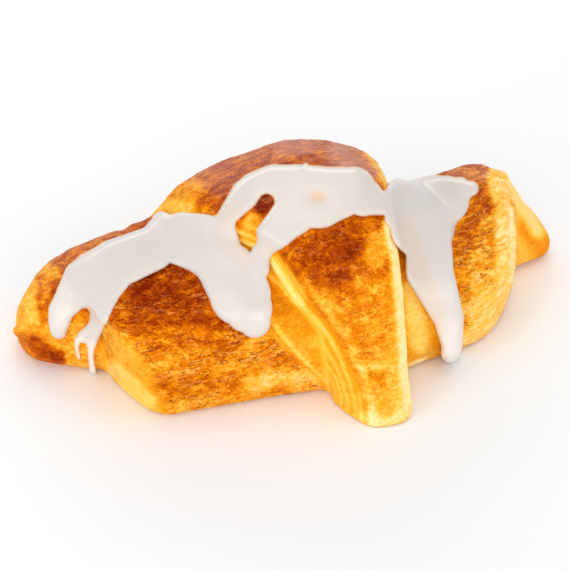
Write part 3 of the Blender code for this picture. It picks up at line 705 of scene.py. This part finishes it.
only(is_left, [
    (0.66, 8, [(48, 252, 5), (80, 232, 5), (120, 224, 4)]),
    (0.32, 8, [(28, 285, 6), (24, 320, 6)]),
    (0.56, 8, [(24, 340, 3), (32, 351, 4), (56, 362, 5)]),
    (0.80, 8, [(34, 342, 3), (44, 350, 4), (58, 357, 3)]),
    (0.50, 4, [(44, 281, 2), (47, 290, 2), (42, 300, 1), (44, 318, 2)]),
    (0.40, 6, [(34, 264, 4), (52, 272, 5)]),
    (0.22, 5, [(30, 300, 3), (34, 320, 3)]),
])
only(is_under, [
    (0.22, 10, [(410, 290, 4), (416, 320, 4), (420, 345, 4)]),
])
only(is_right, [
    (0.44, 12, [(532, 228, 8), (542, 248, 6)]),
    (0.12, 9, [(508, 186, 4), (524, 206, 3), (538, 232, 2)]),
])
bake += on_tip * (0.12 * smooth(0.5, 2.5, down - ragged) * smooth(17, 6, down - ragged) * smooth(361, 366, across) * smooth(388, 381, across)
                  - 0.09 * smooth(3.0, 0.5, np.abs(down - ragged + 1.5)))
bake -= 0.22 * smooth(1.4, 0.3, np.abs(hem - 2.0)) * is_under
bake -= 0.12 * smooth(2.0, 0.2, np.abs(lead + 1.4)) * is_outer * (1 - wall)
mottled = np.select([is_left, is_right, is_outer, is_under], [mix(0.9, 0.7, is_left * smooth(60, 50, across)), mix(0.3, 0.9, hidden), 0.85, 0.6], 1.0) * (1 - 0.5 * end_face) * (1 - 0.6 * wall)
# painted light: paler crust in the crevices of the under layer and the cut wall, to lift the shade there
bake -= 0.06 * smooth(2.0, 0.3, crevice) * (is_under | (wall > 0.4))
bake += 0.20 * np.exp(-(((deep - 1.5) / 0.8) ** 2)) * (is_outer & (p.rs < 6)) * smooth(70, 40, th) * smooth(-0.5, 0.5, wave + 0.2)
gloss = np.clip(wrinkled * smooth(0.5, 0.9, up), 0, 1) * np.where(is_roll, 0.2, np.where(is_left, 0.6, 1.0))

crust_ob = make_mesh("baked_crust", v, faces, [
    ("grain", grain * 0.1),
    ("bake", np.clip(bake, 0, 1)),
    ("layers", np.stack([deep * wall + hem * 0.0, np.maximum(wall, 0.55 * end_face), smooth(1.7, 0.9, crevice)], 1)),
    ("kind", np.stack([flaky, wrinkled, gloss], 1)),
    ("mottled", mottled),
    # painted sheen on the wrinkled tops, where they catch the light
    ("painted_sheen", 0.40 * seen_stroke([(338, 152, 4), (366, 172, 4)], 14) * is_outer
     + 0.22 * seen_stroke([(285, 146, 5), (310, 142, 5)], 12) * is_outer
     + 0.20 * seen_stroke([(456, 172, 5), (480, 172, 5)], 9) * is_roll
     + 0.14 * seen_stroke([(60, 242, 5), (120, 222, 4)], 8) * is_left),
    ("end", end_face),
    ("strand", np.where(is_outer, mix(0.6, strands(deep, th), 0.60 + 0.55 * smooth(-22, 12, th)), 0.6)),
    ("yellow", np.clip(np.where(is_under, 0.9, 0.0) + wall + 0.5 * end_face + tip * 0.0, 0, 1)),
])

# --------------------------------------------------------------- icing piece
HI = 0.56
ilow, ihigh = (-84.0, -66.0, -1.2), (78.0, 24.0, 68.0)
full = grid_values(icing, ilow, ihigh, HI, slack=1.5, margin=1.0)
iv, ifaces = surface(full, ilow, HI)
ip = Places(iv[:, 0], iv[:, 1], iv[:, 2])
iv = settle(icing, iv, 3, 0.3)
ip = Places(iv[:, 0], iv[:, 1], iv[:, 2])
hard = np.stack(parts(ip), 1).min(1)
ia, ib = sight(iv)
# painted light and shade on the icing: greyer where it faces up, brighter on the lobes, runs and drips that face the
# front
icing_light_and_shade = np.full(len(iv), 0.90)
warm = np.zeros(len(iv))
for value, soft, strokes in (
    (0.87, 16, [(120, 258, 14), (180, 238, 16)]),
    (0.98, 12, [(58, 296, 10), (60, 320, 8)]),
    (0.96, 18, [(278, 196, 16), (335, 190, 16)]),
    (0.85, 16, [(405, 195, 12), (440, 188, 12)]),
    (0.86, 14, [(238, 285, 10), (250, 305, 12)]),
    (0.94, 14, [(226, 300, 3), (246, 328, 4), (262, 322, 4)]),
    (0.98, 26, [(438, 300, 4), (446, 330, 6)]),
    (1.10, 18, [(448, 332, 5), (451, 350, 5)]),
    (1.12, 8, [(78, 344, 3), (77, 354, 3)]),
    (1.12, 8, [(91, 348, 3), (92, 370, 3)]),
):
    icing_light_and_shade = mix(icing_light_and_shade, value, smooth(soft, 0, np.maximum(chain(strokes, ia, ib), 0)))
for value, soft, strokes in (
    (0.5, 9, [(228, 212, 3), (222, 236, 5), (246, 262, 3)]),
    (0.5, 9, [(264, 246, 3), (274, 262, 4)]),
    (0.7, 12, [(404, 225, 3), (414, 256, 4), (426, 292, 4), (440, 326, 2)]),
    (0.2, 7, [(78, 342, 3), (92, 350, 3)]),
    (0.35, 8, [(195, 205, 3), (170, 212, 3)]),
):
    warm = np.maximum(warm, value * smooth(soft, 0, np.maximum(chain(strokes, ia, ib), 0)))
icing_ob = make_mesh("sugar_icing", iv, ifaces, [("thick", hard), ("icing_light_and_shade", icing_light_and_shade), ("warm", warm)])
del full

# ----------------------------------------------------------------- materials


def srgb(r, g, b):
    return tuple(((c / 255 / 12.92) if c / 255 <= 0.04045 else ((c / 255 + 0.055) / 1.055) ** 2.4) for c in (r, g, b)) + (1.0,)


class Graph:
    """A short way to write a node tree."""

    def __init__(self, name):
        self.mat = bpy.data.materials.new(name)
        self.mat.use_nodes = True
        self.t = self.mat.node_tree
        self.t.nodes.clear()
        self.out = self.t.nodes.new("ShaderNodeOutputMaterial")
        self.bsdf = self.t.nodes.new("ShaderNodeBsdfPrincipled")
        self.t.links.new(self.bsdf.outputs[0], self.out.inputs["Surface"])

    def put(self, socket, value):
        if hasattr(value, "is_linked"):
            self.t.links.new(value, socket)
        elif value is not None:
            socket.default_value = value

    def attribute(self, name, kind="Fac"):
        n = self.t.nodes.new("ShaderNodeAttribute")
        n.attribute_name = name
        return n.outputs[kind]

    def math(self, op, a, b=None, c=None, clamp=False):
        n = self.t.nodes.new("ShaderNodeMath")
        n.operation = op
        n.use_clamp = clamp
        for k, value in enumerate((a, b, c)):
            if value is not None:
                self.put(n.inputs[k], value)
        return n.outputs[0]

    def vector(self, op, a, b):
        n = self.t.nodes.new("ShaderNodeVectorMath")
        n.operation = op
        self.put(n.inputs[0], a)
        self.put(n.inputs[1], b)
        return n.outputs[0]

    def noise(self, where, scale, detail=2.0, roughness=0.5, distortion=0.0, kind="Fac"):
        n = self.t.nodes.new("ShaderNodeTexNoise")
        self.put(n.inputs["Vector"], where)
        n.inputs["Scale"].default_value = scale
        n.inputs["Detail"].default_value = detail
        n.inputs["Roughness"].default_value = roughness
        n.inputs["Distortion"].default_value = distortion
        return n.outputs[kind]

    def voronoi(self, where, scale, feature, kind):
        n = self.t.nodes.new("ShaderNodeTexVoronoi")
        n.feature = feature
        self.put(n.inputs["Vector"], where)
        n.inputs["Scale"].default_value = scale
        return n.outputs[kind]

    def spread(self, value, a, b, c=0.0, d=1.0, kind="SMOOTHSTEP"):
        n = self.t.nodes.new("ShaderNodeMapRange")
        n.interpolation_type = kind
        self.put(n.inputs["Value"], value)
        for key, x in (("From Min", a), ("From Max", b), ("To Min", c), ("To Max", d)):
            self.put(n.inputs[key], x)
        return n.outputs[0]

    def ramp(self, value, stops):
        n = self.t.nodes.new("ShaderNodeValToRGB")
        self.put(n.inputs[0], value)
        e = n.color_ramp.elements
        while len(e) < len(stops):
            e.new(0.5)
        for k, (at, colour) in enumerate(stops):
            e[k].position = at
            e[k].color = colour
        return n.outputs[0]

    def blend(self, t, a, b, mode="MIX"):
        n = self.t.nodes.new("ShaderNodeMix")
        n.data_type = "RGBA"
        n.blend_type = mode
        self.put(n.inputs[0], t)
        self.put(n.inputs[6], a)
        self.put(n.inputs[7], b)
        return n.outputs[2]

    def parts(self, value):
        n = self.t.nodes.new("ShaderNodeSeparateXYZ")
        self.put(n.inputs[0], value)
        return n.outputs

    def bump(self, height, distance, strength=1.0, normal=None):
        n = self.t.nodes.new("ShaderNodeBump")
        n.inputs["Strength"].default_value = strength
        n.inputs["Distance"].default_value = distance
        self.put(n.inputs["Height"], height)
        if normal is not None:
            self.put(n.inputs["Normal"], normal)
        return n.outputs[0]


LIT = 0.905      # how much brighter than its colour a surface facing the light comes out


def dish(r, g, b):
    """A colour as it should look in this light."""
    return tuple(c / LIT for c in srgb(r, g, b)[:3]) + (1.0,)


g = Graph("baked pastry")
grain_v = g.attribute("grain", "Vector")
baked = g.attribute("bake")
yellow = g.attribute("yellow")
deep_s, wall_s, seam_s = g.parts(g.attribute("layers", "Vector"))
flaky_s, wrinkled_s, gloss_s = g.parts(g.attribute("kind", "Vector"))

long_v = g.vector("MULTIPLY", grain_v, (0.80, 1.0, 1.0))
flat_v = g.vector("MULTIPLY", grain_v, (0.36, 1.0, 1.0))
patches = g.noise(grain_v, 1.1, 4, 0.60, 0.4)
islands = g.noise(long_v, 2.4, 7, 0.66, 0.2)
blotch = g.noise(long_v, 5.2, 5, 0.66, 0.2)
fine = g.noise(long_v, 13.0, 3, 0.65)
where_cracks = g.noise(flat_v, 2.6, 2, 0.5)

# flakes: the skin lies in steps, with painted shade as a dark line under each edge and a painted highlight as a light
# one on it
sheet = g.math("MULTIPLY", g.noise(flat_v, 3.4, 6, 0.62, 0.3), 5.0)
tread = g.math("FRACT", sheet)
torn = g.spread(where_cracks, 0.43, 0.53)
edge_shade = g.math("MULTIPLY", g.math("MULTIPLY", g.spread(tread, 0.18, 0.06), torn), flaky_s)
edge_glint = g.math("MULTIPLY", g.math("MULTIPLY", g.spread(tread, 0.66, 0.92), torn), flaky_s)

furrow_v = g.vector("MULTIPLY", grain_v, (0.13, 1.0, 1.0))
furrow = g.noise(furrow_v, 5.0, 4, 0.62, 0.6)
# a pale crust is also an even one
lively = g.math("MULTIPLY", g.attribute("mottled"), g.spread(baked, 0.08, 0.50, 0.42, 1.0))

island = g.math("SUBTRACT", g.spread(islands, 0.485, 0.508), 0.5)
island2 = g.math("SUBTRACT", g.spread(blotch, 0.48, 0.52), 0.5)
speck = g.math("SUBTRACT", g.spread(fine, 0.44, 0.56), 0.5)
mottle = g.math("MULTIPLY", g.math("SUBTRACT", patches, 0.5), 0.40)
mottle = g.math("ADD", mottle, g.math("MULTIPLY", island, 0.13))
mottle = g.math("ADD", mottle, g.math("MULTIPLY", island2, 0.14))
mottle = g.math("ADD", mottle, g.math("MULTIPLY", speck, 0.12))
plain = g.math("SUBTRACT", 1.0, seam_s)      # no texture where one part's lengths give way to the next one's
lively = g.math("MULTIPLY", lively, plain)
wrinkled_s = g.math("MULTIPLY", wrinkled_s, plain)
mottle = g.math("MULTIPLY", mottle, lively)
# painted shade under the flake edges darkens the level, the painted highlight on them lightens it
lines = g.math("MULTIPLY", g.math("ADD", g.math("MULTIPLY", edge_shade, 0.50), g.math("MULTIPLY", edge_glint, -0.10)), lively)
level = g.math("MAXIMUM", g.math("ADD", baked, mottle), 0.0)
level = g.math("ADD", level, lines)
level = g.math("ADD", level, g.math("MULTIPLY", g.math("MULTIPLY", g.math("SUBTRACT", furrow, 0.5), 0.85), wrinkled_s))
CRUST = [
    (0.00, dish(255, 226, 166)),
    (0.10, dish(254, 209, 126)),
    (0.20, dish(252, 190, 72)),
    (0.32, dish(246, 166, 38)),
    (0.44, dish(236, 141, 12)),
    (0.57, dish(215, 113, 0)),
    (0.70, dish(188, 85, 0)),
    (0.84, dish(160, 60, 0)),
    (1.00, dish(120, 28, 0)),
]
LAYERS = [
    (0.00, dish(255, 228, 156)),
    (0.16, dish(254, 212, 112)),
    (0.32, dish(252, 190, 66)),
    (0.50, dish(243, 163, 26)),
    (0.70, dish(226, 134, 4)),
    (1.00, dish(176, 88, 0)),
]
skin = g.ramp(level, CRUST)
# painted highlight: a peach glint on the flake edges
skin = g.blend(g.math("MULTIPLY", g.math("MULTIPLY", edge_glint, lively), 0.26), skin, dish(238, 164, 104))
# painted sheen: a pinker cast where the wrinkled top catches the light
skin = g.blend(g.attribute("painted_sheen"), skin, dish(214, 164, 146))
# open layers: lines that follow the cut, coming and going
strand_s = g.attribute("strand")
wander = g.math("MULTIPLY", g.noise(grain_v, 0.7, 2, 0.5), 5.0)
thread = g.math("SINE", g.math("ADD", g.math("MULTIPLY", deep_s, 6.5), g.math("MULTIPLY", wander, 1.5)))
here = g.spread(g.noise(grain_v, 2.0, 2), 0.40, 0.62)
ends = g.math("SINE", g.math("ADD", g.math("MULTIPLY", g.parts(grain_v)[2], 34.0), wander))
stripe = g.math("ADD", g.math("MULTIPLY", g.math("SUBTRACT", strand_s, 0.6), 1.7), g.math("MULTIPLY", g.math("MULTIPLY", thread, here), 0.40))
stripe = g.math("ADD", g.math("MULTIPLY", stripe, wall_s), g.math("MULTIPLY", g.math("MULTIPLY", ends, g.attribute("end")), 0.12))
fibre = g.noise(g.vector("MULTIPLY", grain_v, (1.0, 0.5, 1.0)), 6.0, 4, 0.66)
tone = g.math("MULTIPLY", stripe, -0.17)
tone = g.math("ADD", tone, g.math("MULTIPLY", g.math("SUBTRACT", g.spread(fibre, 0.3, 0.7), 0.5), 0.07))
tone = g.math("ADD", g.math("ADD", baked, g.math("MULTIPLY", tone, plain)), mottle)
layer_colour = g.ramp(tone, LAYERS)
colour = g.blend(yellow, skin, layer_colour)
g.put(g.bsdf.inputs["Base Color"], colour)
height = g.math("MULTIPLY", fine, 0.24)
height = g.math("ADD", height, g.math("MULTIPLY", g.math("MULTIPLY", g.math("PINGPONG", sheet, 0.5), torn), g.math("MULTIPLY", flaky_s, 0.35)))
height = g.math("ADD", height, g.math("MULTIPLY", g.math("ADD", island, island2), -0.18))
height = g.math("MULTIPLY", height, lively)
height = g.math("ADD", height, g.math("MULTIPLY", furrow, g.math("MULTIPLY", wrinkled_s, 1.8)))
height = g.math("ADD", height, g.math("MULTIPLY", stripe, 0.22))
height = g.math("ADD", height, g.math("MULTIPLY", fibre, g.math("MULTIPLY", yellow, 0.3)))
g.put(g.bsdf.inputs["Normal"], g.bump(g.math("MULTIPLY", height, plain), 0.0006, 1.0))
g.bsdf.inputs["Subsurface Weight"].default_value = 0.22
g.bsdf.inputs["Subsurface Radius"].default_value = (1.0, 0.35, 0.08)
g.bsdf.inputs["Subsurface Scale"].default_value = 0.0004
g.put(g.bsdf.inputs["Roughness"], g.spread(fine, 0.3, 0.7, 0.40, 0.55))
g.bsdf.inputs["Specular IOR Level"].default_value = 0.03
g.put(g.bsdf.inputs["Coat Weight"], g.math("MULTIPLY", gloss_s, 0.4))
g.bsdf.inputs["Coat Roughness"].default_value = 0.36
crust_ob.data.materials.append(g.mat)

i = Graph("sugar icing")
thick = i.attribute("thick")
sugar = i.ramp(i.spread(thick, 0.1, 2.2, kind="LINEAR"), [
    (0.0, (0.90, 0.50, 0.22, 1)), (0.2, (0.84, 0.62, 0.44, 1)), (0.45, (0.775, 0.71, 0.65, 1)), (1.0, (0.77, 0.715, 0.675, 1))])
sugar = i.blend(i.attribute("warm"), sugar, (0.80, 0.66, 0.54, 1))
# the painted light and shade scales the icing's colour
icing_light_and_shade_v = i.t.nodes.new("ShaderNodeCombineXYZ")
for k in range(3):
    i.put(icing_light_and_shade_v.inputs[k], i.attribute("icing_light_and_shade"))
i.put(i.bsdf.inputs["Base Color"], i.vector("MULTIPLY", sugar, icing_light_and_shade_v.outputs[0]))
i.bsdf.inputs["Roughness"].default_value = 0.28
i.bsdf.inputs["Specular IOR Level"].default_value = 0.4
i.bsdf.inputs["Subsurface Weight"].default_value = 0.3
i.bsdf.inputs["Subsurface Radius"].default_value = (1.0, 0.65, 0.45)
i.bsdf.inputs["Subsurface Scale"].default_value = 0.002
icing_ob.data.materials.append(i.mat)

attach(crust_ob, "root")
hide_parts("croissant")
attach(icing_ob, "root")
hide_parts("icing")

# ------------------------------------------------------- table, light, camera
bpy.ops.mesh.primitive_plane_add(size=6.0, location=(0, 0, 0))
floor = bpy.context.object
floor.name = "table"
t = Graph("white table")
t.bsdf.inputs["Base Color"].default_value = (0.885, 0.90, 0.91, 1)
t.bsdf.inputs["Roughness"].default_value = 0.6
floor.data.materials.append(t.mat)

world = bpy.data.worlds.new("studio")
bpy.context.scene.world = world
world.use_nodes = True
world.node_tree.nodes["Background"].inputs["Color"].default_value = (1.0, 1.0, 1.0, 1)
world.node_tree.nodes["Background"].inputs["Strength"].default_value = 0.58


def softbox(name, place, aim, width, depth, watts, colour=(1, 1, 1)):
    light = bpy.data.lights.new(name, "AREA")
    light.shape = "RECTANGLE"
    light.size, light.size_y = width, depth
    light.energy = watts
    light.color = colour
    ob = bpy.data.objects.new(name, light)
    ob.location = place
    ob.rotation_euler = (Vector(aim) - Vector(place)).to_track_quat("-Z", "Y").to_euler()
    bpy.context.scene.collection.objects.link(ob)
    return ob


softbox("key", (-0.02, 0.02, 1.4), (0, 0, 0.02), 1.1, 1.1, 4.6)
softbox("front", (-0.3, -1.25, 0.7), (0, 0, 0.02), 0.9, 0.7, 6)
softbox("left", (-1.2, -0.5, 0.42), (0, 0, 0.02), 0.8, 0.5, 4.4)
softbox("right", (1.15, -0.65, 0.5), (0, 0, 0.02), 0.8, 0.5, 3.0)
softbox("back", (0.1, 1.05, 0.45), (0, 0, 0.03), 1.2, 0.35, 4)

cam = bpy.data.cameras.new("view")
cam.lens = LENS
cam.sensor_width = 36.0
cam.clip_start = 0.01
camera = bpy.data.objects.new("view", cam)
camera.location = Vector((EYE - ORIGIN) * MM)
camera.rotation_euler = (-Vector(BACK)).to_track_quat("-Z", "Y").to_euler()
bpy.context.scene.collection.objects.link(camera)
bpy.context.scene.camera = camera
bpy.context.scene.view_settings.view_transform = "Standard"
bpy.context.scene.view_settings.look = "None"

bpy.context.view_layer.update()
